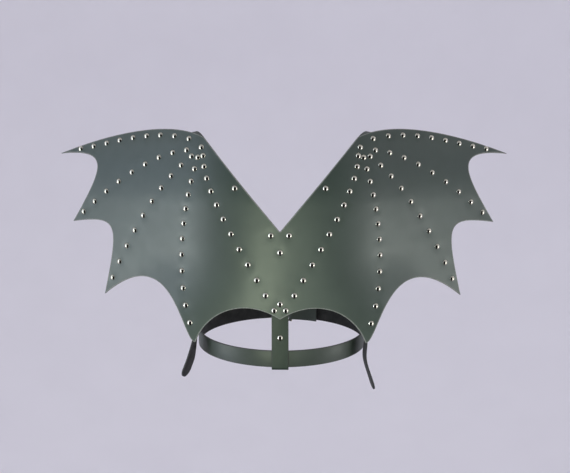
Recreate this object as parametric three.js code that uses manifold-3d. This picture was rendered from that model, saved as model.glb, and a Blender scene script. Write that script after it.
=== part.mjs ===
// Leather bat wings worn on the back: one cut panel with both wings, held by straps, a belt and rivets.
// Millimetres, +Z up. The outer face of the panel looks along -Y and the wearer faces +Y.
// The origin lies midway between the shoulders, at the height where the shoulder straps cross them.

import * as THREE from 'three';
import { mergeVertices } from 'three/addons/utils/BufferGeometryUtils.js';
import Module from 'manifold-3d';

const wasm = await Module();
wasm.setup();

// Leather, and the clearance between pieces that lie on each other
const LEATHER = 2.5;
const STRAP_WIDTH = 25;
const CLEAR = 0.8;
const SIDES = { right: 1, left: -1 };

// Bent form of the panel: curved across the back, wings swept forward, top leaning over the shoulders
const BACK_Y = -75;
const BEND_RADIUS = 330;
const SWEEP_DEGREES = 28;
const LEAN_FROM_Z = -110;
const LEAN_RADIUS = 220;

// The waist arms are drawn in to the waist; the wings outside them stay flat
const TUCK = { share: 0.55, fromZ: -180, fall: 150, fromX: 150, fade: 80 };

// Right half of the cut outline, from the point of the V to the point over the tab, as (x, z)
const V_POINT = [0, -145.5];
const OUTLINE = [
  { edge: 'neckline', to: [114, -9] },
  { edge: 'top', handle1: [185, 26], handle2: [324, -22], to: [362, -36] },
  { edge: 'upper scallop', handle1: [262, -26], handle2: [285, -64], to: [338, -144.5] },
  { edge: 'middle scallop', handle1: [254, -131], handle2: [254, -140], to: [283, -258] },
  { edge: 'lower scallop', handle1: [160, -155], handle2: [149, -311], to: [127, -313] },
  { edge: 'waist arch', handle1: [110, -265], handle2: [52, -241], to: [0, -275.5] },
];
const EDGE_STEPS = 10;

// Stations of the panel's mesh: close where it bends, wide where it is flat
const PANEL_COLUMNS = { step: 20, bentTo: 140, flat: [165, 230, 370] };
const PANEL_ROWS = { top: 12, step: 20, leanTo: -108, flat: [-145, -185, -215, -245, -280, -325] };

// Rivets: a domed head; those that hold a strap or a clasp have a post and a cap behind it
const RIVET = { radius: 4.3, rim: 0.4, dome: 2.5, root: 2.2, post: 1.7, capRadius: 3.8, cap: 1.1, sides: 10 };
const RIVET_SEAT = { head: 0.3, cap: 0.9 };
const CROWN = { radiusShare: 0.7, heightShare: 0.8 };
const HOLE = { radius: 2.2, sides: 8, length: 40 };
const ROD_SIDES = 8;

// Rows of rivets on the right half, stepped along a curve: first rivet, two handles, last rivet
const RIVET_ROWS = [
  { row: 'top_edge', count: 9, curve: [[325, -28], [262, -18], [202, 4], [138, -11]] },
  { row: 'upper_rib', count: 9, curve: [[318, -128], [264, -82], [200, -34], [141, -28]] },
  { row: 'lower_rib', count: 10, curve: [[268, -230], [231, -150], [181, -73], [133, -37]] },
  { row: 'waist_rib', count: 12, curve: [[135.5, -284], [165, -191], [140, -97], [123, -38.5]] },
  { row: 'back_rib', count: 12, curve: [[8.5, -262], [54, -181], [113, -90], [115, -36]] },
];

// Rivets that hold a strap or a clasp under the panel: each is a piece of its own
const HOLDING = [
  { name: 'rivet_shoulder_top', at: [118, -23.5], holds: 'strap', pair: true },
  { name: 'rivet_neckline', at: [66.3, -82.7], holds: 'strap', pair: true },
  { name: 'rivet_v_side', at: [13.3, -151], holds: 'strap', pair: true },
  { name: 'rivet_waist', at: [135.5, -284], holds: 'clasp', pair: true },
  { name: 'rivet_spine_foot', at: [8.5, -262], holds: 'spine', pair: true },
  { name: 'rivet_spine_top', at: [0, -176], holds: 'spine', pair: false },
  { name: 'rivet_spine_middle', at: [0, -252.5], holds: 'spine', pair: false },
];

// Spine strap: under the panel, then round the belt and back up behind it
const SPINE_TOP_Z = -166;
const SPINE_RIVET_Z = -303.5;
const SPINE_RETURN = { aboveBelt: 1.5, joinZ: -309, endZ: -292 };
const LOOP = { clear: 1, rise: 0.9 };
const TURN_STEPS = 8;

// Waist belt: an ellipse in plan, lower at the back than at the front
const BELT = { halfWidth: 132, halfDepth: 95, backZ: -336.5, tiltDegrees: 10.3, steps: 44 };
const BUCKLE = { heelX: 14, farX: -14, bar: 1.2, frame: 1.7, reach: 15.5, prong: 1.1, prongX: [9, 3] };
const BELT_FOLD = { length: 44, steps: 4 };
const BELT_TAIL = { length: 80, climbFromX: -31, climbToX: 8, point: 12.5, blunt: 4, cutDepth: 8 };
const BELT_HOLES = [25, 50];

// Shoulder strap past the panel, right side: centre of the strap and the way its outer face looks
const STRAP_EDGE_INSET = 0.5;
const STRAP_END_SKEW = 4;
const STRAP_SPANS = 12;
const STRAP_STEPS = 2;
const STRAP_END_TURNS = [25, 50, 70, 84];
const STRAP_ROUTE = [
  { place: 'top of the shoulder', at: [141, 8, -4], face: [0.25, 0.05, 1] },
  { place: 'front of the shoulder', at: [150, 42, -20], face: [0.35, 0.7, 0.62] },
  { place: 'chest', at: [154, 66, -58], face: [0.4, 0.88, 0.25] },
  { place: 'front of the armpit', at: [155, 74, -104], face: [0.5, 0.86, -0.05] },
  { place: 'below the armpit', at: [157, 66, -150], face: [0.75, 0.65, -0.12] },
  { place: 'ribs', at: [158, 46, -195], face: [0.93, 0.35, -0.1] },
  { place: 'side', at: [149, 18, -240], face: [0.97, 0.02, -0.2] },
  { place: 'above the clasp', at: [133.5, -14, -277], face: [0.98, -0.08, -0.15] },
];
const STUD = { at: [130, -27, -301], post: 1.8, head: 4, rim: 0.8, dome: 2.3 };
const CLASP = { seat: 1.3, plate: 2, footWide: 17, footTall: 15, heelTall: 14 };
const CLASP_TIP = { radius: 8, arc: [-126, 63] };
const STRAP_TAILS = {
  left: [
    { at: [132.5, -28.5, -319], face: [0.97, 0.14, 0.2] },
    { at: [138, -30, -345], face: [0.9, 0.34, 0.25] },
    { at: [144.5, -30, -363], face: [0.88, 0.38, 0.3] },
  ],
  right: [
    { at: [129.6, -28, -319], face: [0.99, 0.05, -0.04] },
    { at: [128.5, -28, -346], face: [0.98, 0.11, 0.17] },
    { at: [139, -28, -381], face: [0.94, 0.15, 0.31] },
  ],
};
const TAIL_HOLES = { radius: 1.6, back: [22, 36, 50] };

const LEATHER_FINISH = { color: 0x2d3230, roughness: 0.42, metalness: 0 };
const METAL_FINISH = { color: 0xd4d6d8, roughness: 0.16, metalness: 1 };

const vec = (x, y, z) => new THREE.Vector3(x, y, z);
const radians = THREE.MathUtils.degToRad;
const mid = (a, b, t) => a + (b - a) * t;

// Solids: closed bodies facing out, joined and cut

// Shared corners merged, triangles without area dropped, faces turned outwards
function closed(geometry) {
  const bare = geometry.clone();
  bare.deleteAttribute('normal');
  bare.deleteAttribute('uv');
  const body = mergeVertices(bare, 1e-4);
  const places = body.attributes.position;
  const corner = (i) => new THREE.Vector3().fromBufferAttribute(places, i);
  const old = body.index.array;
  const order = [];
  let volume = 0;
  for (let i = 0; i < old.length; i += 3) {
    const [a, b, c] = [old[i], old[i + 1], old[i + 2]];
    if (a !== b && b !== c && c !== a) {
      order.push(a, b, c);
      volume += corner(a).dot(corner(b).cross(corner(c)));
    }
  }
  body.setIndex(volume > 0 ? order : order.reverse());
  return body;
}

function solidOf(geometry) {
  const body = closed(geometry);
  return new wasm.Manifold(new wasm.Mesh({
    numProp: 3,
    vertProperties: new Float32Array(body.attributes.position.array),
    triVerts: new Uint32Array(body.index.array),
  }));
}

function geometryOf(solid) {
  const mesh = solid.getMesh();
  const geometry = new THREE.BufferGeometry();
  geometry.setAttribute('position', new THREE.BufferAttribute(new Float32Array(mesh.vertProperties), 3));
  geometry.setIndex(new THREE.BufferAttribute(new Uint32Array(mesh.triVerts), 1));
  return geometry;
}

function onSide(geometry, sign) {
  return closed(geometry.clone().applyMatrix4(new THREE.Matrix4().makeScale(sign, 1, 1)));
}

// A closed body from points and quads
function bodyOf(points, quads) {
  const geometry = new THREE.BufferGeometry().setFromPoints(points);
  geometry.setIndex(quads.flatMap(([a, b, c, d]) => [a, b, c, a, c, d]));
  return closed(geometry);
}

// A flat band through sections of four corners, closed at both ends
function bandOf(sections) {
  const points = sections.flat();
  const last = (sections.length - 1) * 4;
  const quads = [[3, 2, 1, 0], [last, last + 1, last + 2, last + 3]];
  for (let base = 0; base < last; base += 4) {
    for (let corner = 0; corner < 4; corner += 1) {
      const next = (corner + 1) % 4;
      quads.push([base + corner, base + next, base + 4 + next, base + 4 + corner]);
    }
  }
  return bodyOf(points, quads);
}

// A rod of round section between two points
function rodOf(from, to, radius, sides) {
  const along = to.clone().sub(from);
  const rod = new THREE.CylinderGeometry(radius, radius, along.length(), sides);
  rod.applyQuaternion(new THREE.Quaternion().setFromUnitVectors(vec(0, 1, 0), along.clone().normalize()));
  const centre = from.clone().add(to).multiplyScalar(0.5);
  return rod.translate(centre.x, centre.y, centre.z);
}

// The bent sheet

function smooth(t) {
  const s = THREE.MathUtils.clamp(t, 0, 1);
  return s * s * (3 - 2 * s);
}

function bend(x) {
  const across = Math.abs(x);
  const sweep = radians(SWEEP_DEGREES);
  const end = BEND_RADIUS * Math.sin(sweep);
  const drop = (a) => BEND_RADIUS - Math.sqrt(BEND_RADIUS ** 2 - a ** 2);
  return across < end ? drop(across) : drop(end) + (across - end) * Math.tan(sweep);
}

function lean(z) {
  const rise = Math.max(0, z - LEAN_FROM_Z);
  return LEAN_RADIUS - Math.sqrt(LEAN_RADIUS ** 2 - rise ** 2);
}

function sheetY(x, z) {
  const low = smooth((TUCK.fromZ - z) / TUCK.fall);
  const arm = 1 - smooth((Math.abs(x) - TUCK.fromX) / TUCK.fade);
  return BACK_Y + bend(x) * (1 - TUCK.share * low * arm) + lean(z);
}

function sheetNormal(x, z) {
  const h = 0.5;
  const slopeX = (sheetY(x + h, z) - sheetY(x - h, z)) / (2 * h);
  const slopeZ = (sheetY(x, z + h) - sheetY(x, z - h)) / (2 * h);
  return vec(slopeX, -1, slopeZ).normalize();
}

// A point under the outer face of the sheet, measured square to it
function underSheet(x, z, depth) {
  return vec(x, sheetY(x, z), z).addScaledVector(sheetNormal(x, z), -depth);
}

// Panel

function outlineShape() {
  const shape = new THREE.Shape();
  shape.moveTo(...V_POINT);
  for (const { handle1, handle2, to } of OUTLINE) {
    if (handle1) shape.bezierCurveTo(...handle1, ...handle2, ...to);
    else shape.lineTo(...to);
  }
  for (let i = OUTLINE.length - 1; i >= 0; i -= 1) {
    const { handle1, handle2 } = OUTLINE[i];
    const [x, z] = i > 0 ? OUTLINE[i - 1].to : V_POINT;
    if (handle1) shape.bezierCurveTo(-handle2[0], handle2[1], -handle1[0], handle1[1], -x, z);
    else shape.lineTo(-x, z);
  }
  return shape;
}

function panelColumns() {
  const right = [];
  for (let x = 0; x <= PANEL_COLUMNS.bentTo; x += PANEL_COLUMNS.step) right.push(x);
  right.push(...PANEL_COLUMNS.flat);
  return [...right.slice(1).reverse().map((x) => -x), ...right];
}

function panelRows() {
  const rows = [];
  for (let z = PANEL_ROWS.top; z >= PANEL_ROWS.leanTo; z -= PANEL_ROWS.step) rows.push(z);
  return [...rows, ...PANEL_ROWS.flat];
}

function sheetBlank() {
  const columns = panelColumns();
  const rows = panelRows();
  const wide = columns.length;
  const count = wide * rows.length;
  const face = (depth) => rows.flatMap((z) => columns.map((x) => underSheet(x, z, depth)));
  const quads = [];
  for (let r = 0; r + 1 < rows.length; r += 1) {
    for (let c = 0; c + 1 < wide; c += 1) {
      const a = r * wide + c;
      quads.push([a, a + wide, a + wide + 1, a + 1]);
      quads.push([count + a, count + a + 1, count + a + wide + 1, count + a + wide]);
    }
  }
  const rim = [];
  for (let c = 0; c < wide - 1; c += 1) rim.push(c);
  for (let r = 0; r < rows.length - 1; r += 1) rim.push(r * wide + wide - 1);
  for (let c = wide - 1; c > 0; c -= 1) rim.push((rows.length - 1) * wide + c);
  for (let r = rows.length - 1; r > 0; r -= 1) rim.push(r * wide);
  rim.forEach((a, i) => {
    const b = rim[(i + 1) % rim.length];
    quads.push([a, b, count + b, count + a]);
  });
  return bodyOf([...face(0), ...face(LEATHER)], quads);
}

function outlineCutter() {
  const reach = 400;
  const cutter = new THREE.ExtrudeGeometry(outlineShape(), {
    depth: reach, bevelEnabled: false, curveSegments: EDGE_STEPS,
  });
  return cutter.rotateX(Math.PI / 2).translate(0, reach / 2, 0);
}

// Places of the trim rivets on the right half, without those that hold a strap or a clasp
function trimPlaces() {
  const isHolding = (p) => HOLDING.some(({ at }) => Math.hypot(at[0] - p.x, at[1] - p.y) < RIVET.radius);
  const rowOf = ({ count, curve }) => new THREE.CubicBezierCurve(
    ...curve.map(([x, z]) => new THREE.Vector2(x, z)),
  ).getPoints(count - 1);
  return RIVET_ROWS.flatMap(rowOf).filter((p) => !isHolding(p));
}

// Turns a lathed piece, made along Y, so that it stands on the sheet at (x, z)
function standOnSheet(geometry, x, z) {
  const turn = new THREE.Quaternion().setFromUnitVectors(vec(0, 1, 0), sheetNormal(x, z));
  geometry.applyQuaternion(turn);
  return geometry.translate(x, sheetY(x, z), z);
}

function lathed(profile) {
  return new THREE.LatheGeometry(profile.map(([r, h]) => new THREE.Vector2(r, h)), RIVET.sides);
}

// Trim rivet: a low head whose root is set into the leather
function trimRivet(x, z) {
  return standOnSheet(lathed([[0, -RIVET.root], [RIVET.radius, RIVET.rim], [0, RIVET.dome]]), x, z);
}

function holdingPlaces() {
  return HOLDING.flatMap(({ name, at: [x, z], holds, pair }) => (pair
    ? Object.entries(SIDES).map(([side, sign]) => ({ name: `${name}_${side}`, x: sign * x, z, holds }))
    : [{ name, x, z, holds }]));
}

function rivetHole(x, z) {
  return standOnSheet(new THREE.CylinderGeometry(HOLE.radius, HOLE.radius, HOLE.length, HOLE.sides), x, z);
}

function panelGeometry() {
  let panel = solidOf(sheetBlank()).intersect(solidOf(outlineCutter()));
  for (const { x, y: z } of trimPlaces()) {
    for (const sign of Object.values(SIDES)) panel = panel.add(solidOf(trimRivet(sign * x, z)));
  }
  for (const { x, z } of holdingPlaces()) panel = panel.subtract(solidOf(rivetHole(x, z)));
  return geometryOf(panel);
}

// Holding rivet: head on the outer face, post through the stack, cap behind it
function holdingRivet(stack) {
  const under = -stack - RIVET_SEAT.cap;
  return lathed([
    [0, under - RIVET.cap],
    [RIVET.capRadius, under],
    [RIVET.post, under],
    [RIVET.post, RIVET_SEAT.head],
    [RIVET.radius, RIVET_SEAT.head],
    [RIVET.radius * CROWN.radiusShare, RIVET.dome * CROWN.heightShare],
    [0, RIVET.dome],
  ]);
}

// Shoulder strap

const neckTip = new THREE.Vector2(...OUTLINE[0].to);
const neckFoot = new THREE.Vector2(...V_POINT);
const neckLength = neckTip.distanceTo(neckFoot);
const neckWay = neckTip.clone().sub(neckFoot).normalize();
const neckSide = new THREE.Vector2(neckWay.y, -neckWay.x);
const strapInset = STRAP_EDGE_INSET + STRAP_WIDTH / 2;

// Section of the strap under the panel; skew sets its outer corner back along the strap
function sectionUnderPanel(along, skew) {
  const corner = (side, depth) => {
    const place = neckFoot.clone()
      .addScaledVector(neckSide, strapInset + (side * STRAP_WIDTH) / 2)
      .addScaledVector(neckWay, along - (side > 0 ? skew : 0));
    return underSheet(place.x, place.y, depth);
  };
  const near = LEATHER + CLEAR;
  const far = near + LEATHER;
  return [corner(-1, near), corner(1, near), corner(1, far), corner(-1, far)];
}

// Section of a strap in the open: centre, the way it runs and the way its outer face looks
function sectionInTheOpen(centre, way, face, width) {
  const across = way.clone().cross(face).normalize();
  const out = across.clone().cross(way).normalize();
  const corner = (side, lift) => centre.clone()
    .addScaledVector(across, (side * width) / 2)
    .addScaledVector(out, (lift * LEATHER) / 2);
  return [corner(-1, 1), corner(1, 1), corner(1, -1), corner(-1, -1)];
}

function centreOf(section) {
  return section.reduce((sum, corner) => sum.add(corner), vec(0, 0, 0)).divideScalar(section.length);
}

function strapStations(tail) {
  const stud = { at: STUD.at, face: [1, 0, 0] };
  return [...STRAP_ROUTE, stud, ...tail].map(({ at, face }) => ({ at: vec(...at), face: vec(...face) }));
}

function sectionsUnderPanel() {
  const sections = [sectionUnderPanel(0, STRAP_END_SKEW)];
  for (let i = 1; i <= STRAP_SPANS; i += 1) {
    sections.push(sectionUnderPanel((neckLength * i) / STRAP_SPANS, 0));
  }
  return sections;
}

function sectionsInTheOpen(tail, leaves) {
  const stations = strapStations(tail);
  return stations.map(({ at, face }, i) => {
    const before = i > 0 ? stations[i - 1].at : leaves;
    const after = i + 1 < stations.length ? stations[i + 1].at : at;
    return sectionInTheOpen(at, after.clone().sub(before), face, STRAP_WIDTH);
  });
}

// Close under the panel, then a smooth run through the open sections, then a rounded end
function strapBand(tail) {
  const sections = sectionsUnderPanel();
  const keys = [...sections.slice(-2), ...sectionsInTheOpen(tail, centreOf(sections[STRAP_SPANS]))];
  const rails = [0, 1, 2, 3].map((corner) => new THREE.CatmullRomCurve3(
    keys.map((section) => section[corner]), false, 'catmullrom', 0.5,
  ));
  const steps = (keys.length - 1) * STRAP_STEPS;
  for (let i = STRAP_STEPS + 1; i <= steps; i += 1) {
    sections.push(rails.map((rail) => rail.getPoint(i / steps)));
  }
  const end = tail.length - 1;
  const face = vec(...tail[end].face);
  const centre = vec(...tail[end].at);
  const way = centre.clone().sub(vec(...tail[end - 1].at)).normalize();
  for (const turn of STRAP_END_TURNS) {
    const angle = radians(turn);
    const ahead = centre.clone().addScaledVector(way, (Math.sin(angle) * STRAP_WIDTH) / 2);
    sections.push(sectionInTheOpen(ahead, way, face, STRAP_WIDTH * Math.cos(angle)));
  }
  return bandOf(sections);
}

// Points along the middle of the free end, measured back from its last station
function tailHole(tail, back) {
  const run = new THREE.CatmullRomCurve3([vec(...STUD.at), ...tail.map(({ at }) => vec(...at))]);
  const along = 1 - back / run.getLength();
  const centre = run.getPointAt(along);
  const nearest = tail.map(({ at, face }) => ({ gap: vec(...at).distanceTo(centre), face }))
    .sort((a, b) => a.gap - b.gap)[0];
  const out = vec(...nearest.face).normalize().multiplyScalar(LEATHER * 2);
  return rodOf(centre.clone().sub(out), centre.clone().add(out), TAIL_HOLES.radius, HOLE.sides);
}

function strapGeometry(side) {
  const tail = STRAP_TAILS[side];
  let strap = solidOf(strapBand(tail));
  for (const { x, z, holds } of holdingPlaces()) {
    if (holds === 'strap' && x > 0) strap = strap.subtract(solidOf(rivetHole(x, z)));
  }
  for (const back of TAIL_HOLES.back) strap = strap.subtract(solidOf(tailHole(tail, back)));
  const stud = vec(...STUD.at);
  const reach = vec(LEATHER * 2, 0, 0);
  const studHole = rodOf(stud.clone().sub(reach), stud.clone().add(reach), HOLE.radius + CLEAR, HOLE.sides);
  return onSide(geometryOf(strap.subtract(solidOf(studHole))), SIDES[side]);
}

// Side clasp: a foot under the waist arm, a plate along the side and a stud for the strap

function claspFoot([x, z]) {
  const foot = new THREE.BoxGeometry(CLASP.footWide, CLASP.plate, CLASP.footTall);
  return standOnSheet(foot.translate(0, -LEATHER - CLASP.seat - CLASP.plate / 2, 0), x, z);
}

function claspPlate(rivetZ) {
  const [studX, studY, studZ] = STUD.at;
  const heel = sheetY(studX, rivetZ) + LEATHER + CLASP.plate;
  const outer = studX - LEATHER / 2 - CLEAR;
  const shape = new THREE.Shape();
  shape.moveTo(heel, rivetZ + CLASP.heelTall / 2);
  shape.lineTo(heel, rivetZ - CLASP.heelTall / 2);
  shape.absarc(studY, studZ, CLASP_TIP.radius, ...CLASP_TIP.arc.map(radians), false);
  const plate = new THREE.ExtrudeGeometry(shape, {
    depth: CLASP.plate, bevelEnabled: false, curveSegments: TURN_STEPS,
  });
  plate.applyMatrix4(new THREE.Matrix4().makeBasis(vec(0, 1, 0), vec(0, 0, 1), vec(1, 0, 0)));
  return plate.translate(outer - CLASP.plate, 0, 0);
}

function claspStud() {
  const root = -LEATHER / 2 - CLEAR - CLASP.plate / 2;
  const neck = LEATHER / 2 + CLEAR;
  const stud = lathed([
    [0, root],
    [STUD.post, root],
    [STUD.post, neck],
    [STUD.head, neck],
    [STUD.head, neck + STUD.rim],
    [STUD.head * CROWN.radiusShare, neck + STUD.dome * CROWN.heightShare],
    [0, neck + STUD.dome],
  ]);
  return stud.rotateZ(-Math.PI / 2).translate(...STUD.at);
}

function claspGeometry(side) {
  const rivet = HOLDING.find(({ holds }) => holds === 'clasp').at;
  const clasp = solidOf(claspPlate(rivet[1]))
    .add(solidOf(claspFoot(rivet)))
    .add(solidOf(claspStud()))
    .subtract(solidOf(rivetHole(...rivet)));
  return onSide(geometryOf(clasp), SIDES[side]);
}

// Strips folded in one plane: a centre line thickened to the leather and given the strap's width

function stripOf(line) {
  const edge = (sign) => line.map((p, i) => {
    const before = line[Math.max(0, i - 1)];
    const after = line[Math.min(line.length - 1, i + 1)];
    const way = after.clone().sub(before).normalize();
    return p.clone().addScaledVector(new THREE.Vector2(-way.y, way.x), (sign * LEATHER) / 2);
  });
  const shape = new THREE.Shape([...edge(1), ...edge(-1).reverse()]);
  return new THREE.ExtrudeGeometry(shape, { depth: STRAP_WIDTH, bevelEnabled: false });
}

function turnAround(centre, radius, fromAngle, toAngle) {
  const points = [];
  for (let i = 0; i <= TURN_STEPS; i += 1) {
    const angle = mid(fromAngle, toAngle, i / TURN_STEPS);
    const way = new THREE.Vector2(Math.cos(angle), Math.sin(angle));
    points.push(centre.clone().addScaledVector(way, radius));
  }
  return points;
}

const spineY = BACK_Y + LEATHER + CLEAR + LEATHER / 2;
const beltBackY = spineY + LEATHER / 2 + CLEAR;
const loopRadius = LEATHER + LOOP.clear;
const loopZ = BELT.backZ - STRAP_WIDTH / 2 + LOOP.rise;

// Spine strap: its side view (y, z), drawn across the strap's width
function spineGeometry() {
  const place = (y, z) => new THREE.Vector2(spineY + y, z);
  const line = [
    place(0, SPINE_TOP_Z),
    ...turnAround(place(loopRadius, loopZ), loopRadius, Math.PI, 2 * Math.PI),
    place(2 * loopRadius, BELT.backZ + STRAP_WIDTH / 2 + SPINE_RETURN.aboveBelt),
    place(loopRadius, SPINE_RETURN.joinZ),
    place(loopRadius, SPINE_RETURN.endZ),
  ];
  const strip = stripOf(line);
  strip.applyMatrix4(new THREE.Matrix4().makeBasis(vec(0, 1, 0), vec(0, 0, 1), vec(1, 0, 0)));
  let spine = solidOf(strip.translate(-STRAP_WIDTH / 2, 0, 0));
  for (const { x, z, holds } of holdingPlaces()) {
    if (holds === 'spine') spine = spine.subtract(solidOf(rivetHole(x, z)));
  }
  return geometryOf(spine.subtract(solidOf(rivetHole(0, SPINE_RIVET_Z))));
}

// Waist belt

const beltCentreY = beltBackY + BELT.halfDepth;

// A point of the belt's plan: angle from +X, and height above the middle of the leather
function beltPlan(angle, height) {
  const wide = BELT.halfWidth - LEATHER / 2;
  const deep = BELT.halfDepth - LEATHER / 2;
  const place = new THREE.Vector2(wide * Math.cos(angle), deep * Math.sin(angle));
  const out = new THREE.Vector2(place.x / wide ** 2, place.y / deep ** 2).normalize();
  return place.addScaledVector(out, height).add(new THREE.Vector2(0, beltCentreY));
}

const beltAngle = (x) => Math.acos(x / (BELT.halfWidth - LEATHER / 2));
const barDepth = -(LEATHER / 2 + BUCKLE.bar + CLEAR);
const tailLift = LEATHER + CLEAR;

// Height of the free end, which climbs over the fold between the two bars of the buckle
function tailHeight(x) {
  const { climbFromX, climbToX } = BELT_TAIL;
  return tailLift * smooth((x - climbFromX) / (climbToX - climbFromX));
}

// Plan of the belt: fold round the heel bar, once round the waist, then the free end over the fold
function beltLine() {
  const bar = beltAngle(BUCKLE.heelX);
  const foldEnd = beltAngle(BUCKLE.heelX + BELT_FOLD.length);
  const tailEnd = beltAngle(BUCKLE.heelX + BELT_TAIL.length) - 2 * Math.PI;
  const line = [];
  for (let i = 0; i < BELT_FOLD.steps; i += 1) {
    line.push(beltPlan(mid(foldEnd, bar, i / BELT_FOLD.steps), 2 * barDepth));
  }
  const centre = beltPlan(bar, barDepth);
  const out = beltPlan(bar, 0).sub(centre).angle();
  line.push(...turnAround(centre, -barDepth, out + Math.PI, out));
  for (let i = 1; i <= BELT.steps; i += 1) {
    const angle = mid(bar, tailEnd, i / BELT.steps);
    const x = BELT.halfWidth * Math.cos(angle);
    line.push(beltPlan(angle, angle < -Math.PI ? tailHeight(x) : 0));
  }
  return line;
}

// A place at the front of the belt: across, above the middle of the leather, and up the width
function beltFront(x, height, z) {
  const plan = beltPlan(beltAngle(x), height);
  return vec(plan.x, plan.y, z);
}

// Belt and buckle are made level, then raised towards the front
function tilted(geometry) {
  const rise = Math.tan(radians(BELT.tiltDegrees));
  const shear = new THREE.Matrix4().makeBasis(vec(1, 0, 0), vec(0, 1, rise), vec(0, 0, 1));
  return geometry.applyMatrix4(shear.setPosition(0, 0, BELT.backZ - beltBackY * rise));
}

const farHeight = tailHeight(BUCKLE.farX) + LEATHER / 2 + CLEAR + BUCKLE.frame;

// The prong starts at the heel bar, passes up through both layers and rests on the far bar
function prongLine() {
  const top = tailLift + LEATHER / 2 + CLEAR + BUCKLE.prong;
  return [
    beltFront(BUCKLE.heelX, barDepth, 0),
    beltFront(BUCKLE.prongX[0], barDepth, 0),
    beltFront(BUCKLE.prongX[1], top, 0),
    beltFront(BUCKLE.farX, farHeight, 0),
  ];
}

function prongRods(radius) {
  const line = prongLine();
  return line.slice(1).map((to, i) => {
    const from = line[i];
    const spare = to.clone().sub(from).setLength(radius * 0.5);
    return rodOf(from.clone().sub(spare), to.clone().add(spare), radius, ROD_SIDES);
  });
}

// The free end of the belt is cut to a blunt point, one corner at a time
function beltEndCut(sign) {
  const endX = BUCKLE.heelX + BELT_TAIL.length;
  const tip = beltFront(endX, tailLift, 0);
  const way = tip.clone().sub(beltFront(endX - CLEAR, tailLift, 0)).normalize();
  const up = vec(0, 0, sign);
  const past = STRAP_WIDTH / 2 + CLEAR;
  const corner = [[CLEAR, past], [-BELT_TAIL.point, past], [CLEAR, BELT_TAIL.blunt]];
  const cut = new THREE.ExtrudeGeometry(new THREE.Shape(corner.map((p) => new THREE.Vector2(...p))), {
    depth: BELT_TAIL.cutDepth, bevelEnabled: false,
  });
  cut.translate(0, 0, -BELT_TAIL.cutDepth / 2);
  return cut.applyMatrix4(new THREE.Matrix4().makeBasis(way, up, way.clone().cross(up)).setPosition(tip));
}

// A hole through the free end only
function beltHole(past) {
  const x = BUCKLE.heelX + past;
  const from = beltFront(x, tailLift - (LEATHER + CLEAR) / 2, 0);
  return rodOf(from, beltFront(x, tailLift + LEATHER, 0), TAIL_HOLES.radius, HOLE.sides);
}

function beltGeometry() {
  const strip = stripOf(beltLine());
  const cuts = [
    ...prongRods(BUCKLE.prong + CLEAR),
    ...Object.values(SIDES).map(beltEndCut),
    ...BELT_HOLES.map(beltHole),
  ];
  let belt = solidOf(strip.translate(0, 0, -STRAP_WIDTH / 2));
  for (const cut of cuts) belt = belt.subtract(solidOf(cut));
  return tilted(geometryOf(belt));
}

function buckleGeometry() {
  const { heelX, farX, bar, frame, reach } = BUCKLE;
  const upright = (x, height, radius) => rodOf(
    beltFront(x, height, -reach - radius), beltFront(x, height, reach + radius), radius, ROD_SIDES,
  );
  const rail = (sign) => rodOf(
    beltFront(farX - frame, farHeight, sign * reach),
    beltFront(heelX + bar, barDepth, sign * reach),
    frame,
    ROD_SIDES,
  );
  const rods = [upright(heelX, barDepth, bar), rail(1), rail(-1), ...prongRods(BUCKLE.prong)];
  let buckle = solidOf(upright(farX, farHeight, frame));
  for (const rod of rods) buckle = buckle.add(solidOf(rod));
  return tilted(geometryOf(buckle));
}

// Assembly

function piece(name, geometry, finish) {
  const mesh = new THREE.Mesh(geometry, new THREE.MeshStandardMaterial(finish));
  mesh.name = name;
  return mesh;
}

const STACKS = {
  strap: 2 * LEATHER + CLEAR,
  spine: 2 * LEATHER + CLEAR,
  clasp: LEATHER + CLASP.seat + CLASP.plate,
  loop: LEATHER + loopRadius,
};

const wings = new THREE.Group();
wings.add(piece('wing_panel', panelGeometry(), LEATHER_FINISH));
wings.add(piece('spine_strap', spineGeometry(), LEATHER_FINISH));
wings.add(piece('waist_belt', beltGeometry(), LEATHER_FINISH));
wings.add(piece('belt_buckle', buckleGeometry(), METAL_FINISH));
for (const side of Object.keys(SIDES)) {
  wings.add(piece(`shoulder_strap_${side}`, strapGeometry(side), LEATHER_FINISH));
  wings.add(piece(`side_clasp_${side}`, claspGeometry(side), METAL_FINISH));
}
for (const { name, x, z, holds } of holdingPlaces()) {
  wings.add(piece(name, closed(standOnSheet(holdingRivet(STACKS[holds]), x, z)), METAL_FINISH));
}
const loopRivet = standOnSheet(holdingRivet(STACKS.loop), 0, SPINE_RIVET_Z).translate(0, LEATHER + CLEAR, 0);
wings.add(piece('rivet_spine_loop', closed(loopRivet), METAL_FINISH));

export default wings;
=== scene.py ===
import math

import bpy
import numpy as np
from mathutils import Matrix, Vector
from mathutils.geometry import delaunay_2d_cdt


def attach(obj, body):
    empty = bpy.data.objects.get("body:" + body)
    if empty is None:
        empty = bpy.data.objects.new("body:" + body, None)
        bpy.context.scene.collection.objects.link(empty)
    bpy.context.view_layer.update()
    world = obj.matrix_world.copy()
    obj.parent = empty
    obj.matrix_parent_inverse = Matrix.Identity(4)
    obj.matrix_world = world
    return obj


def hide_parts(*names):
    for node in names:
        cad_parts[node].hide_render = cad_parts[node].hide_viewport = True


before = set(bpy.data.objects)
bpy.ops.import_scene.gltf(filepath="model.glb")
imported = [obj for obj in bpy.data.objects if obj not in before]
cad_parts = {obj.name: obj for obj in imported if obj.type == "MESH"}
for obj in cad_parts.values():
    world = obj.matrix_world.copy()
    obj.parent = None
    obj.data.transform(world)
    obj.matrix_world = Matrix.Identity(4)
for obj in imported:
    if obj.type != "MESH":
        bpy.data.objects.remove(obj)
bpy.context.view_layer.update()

# Sizes are in millimetres, in the part's own frame: +Z up, the outer face of the panel looks along -Y.
MM = 0.001
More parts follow.
